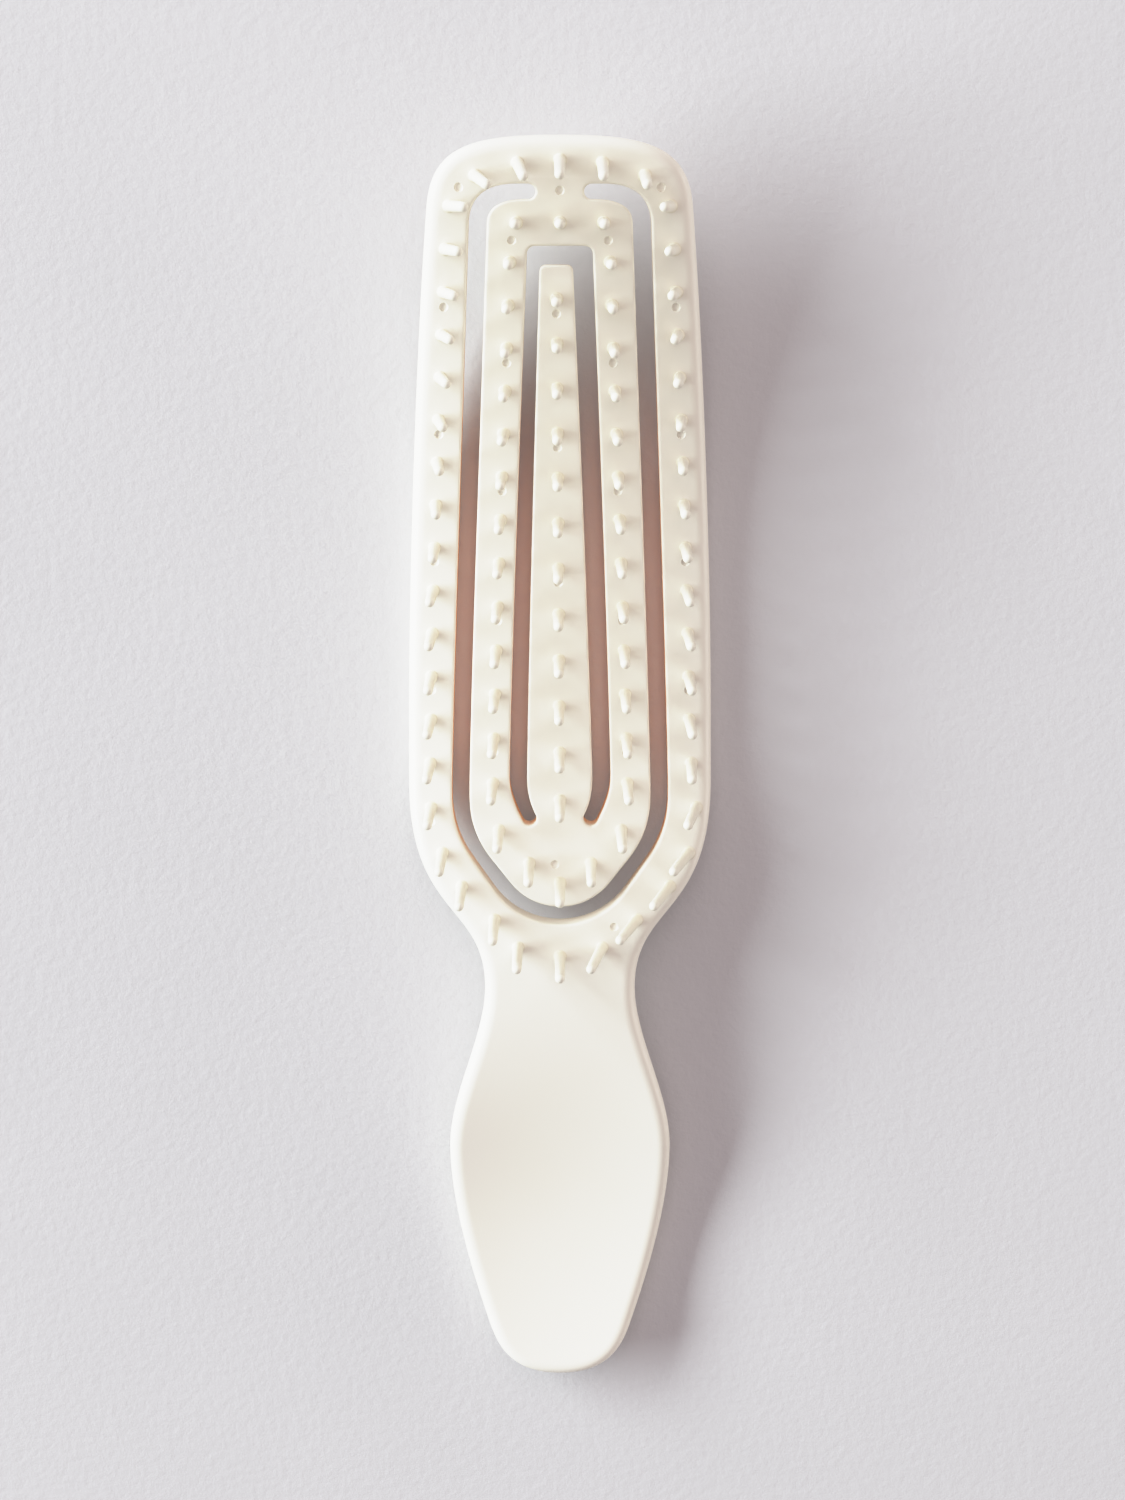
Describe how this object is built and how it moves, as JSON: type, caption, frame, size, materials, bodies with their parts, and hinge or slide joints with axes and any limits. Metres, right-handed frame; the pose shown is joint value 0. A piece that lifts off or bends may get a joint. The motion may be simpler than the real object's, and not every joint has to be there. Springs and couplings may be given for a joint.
{
  "type": "vent brush",
  "caption": "Moulded vent hair brush: a wave-curved plate with a dished handle, whose slotted head flexes as a nested frame, loop and tongue carrying rows of rounded pins.",
  "frame": {"origin": "under the middle of the brush, on the surface that its back rests on", "axes": "+Y along the brush to the tip of its head, +X to the right with the pins facing the viewer, +Z out of the pin side"},
  "size_m": [0.0532, 0.222, 0.0311],
  "materials": {
    "cream_plastic": "satin cream moulded plastic, slightly translucent",
    "pin_plastic": "the same plastic, paler where it is thin"
  },
  "bodies": {
    "frame": {"handle_frame": "cream_plastic", "loop_hinge_web": "cream_plastic", "crown_pins": "pin_plastic", "left_rail_pins": "pin_plastic", "right_rail_pins": "pin_plastic", "throat_pins": "pin_plastic"},
    "loop": {"inner_loop": "cream_plastic", "tongue_hinge_web": "cream_plastic", "loop_crown_pins": "pin_plastic", "loop_left_pins": "pin_plastic", "loop_right_pins": "pin_plastic", "loop_chin_pins": "pin_plastic"},
    "tongue": {"centre_tongue": "cream_plastic", "tongue_pins": "pin_plastic"}
  },
  "joints": [
    {"name": "loop_flex", "type": "hinge", "parent": "frame", "child": "loop", "pos_m": [0, 0.10195, 0.01328], "axis": [1, 0, 0], "range_deg": [-5, 5], "stiffness_Nm_per_rad": 0.9},
    {"name": "tongue_flex", "type": "hinge", "parent": "loop", "child": "tongue", "pos_m": [0, -0.0063, 0.0045], "axis": [1, 0, 0], "range_deg": [-5, 5], "stiffness_Nm_per_rad": 0.8}
  ]
}
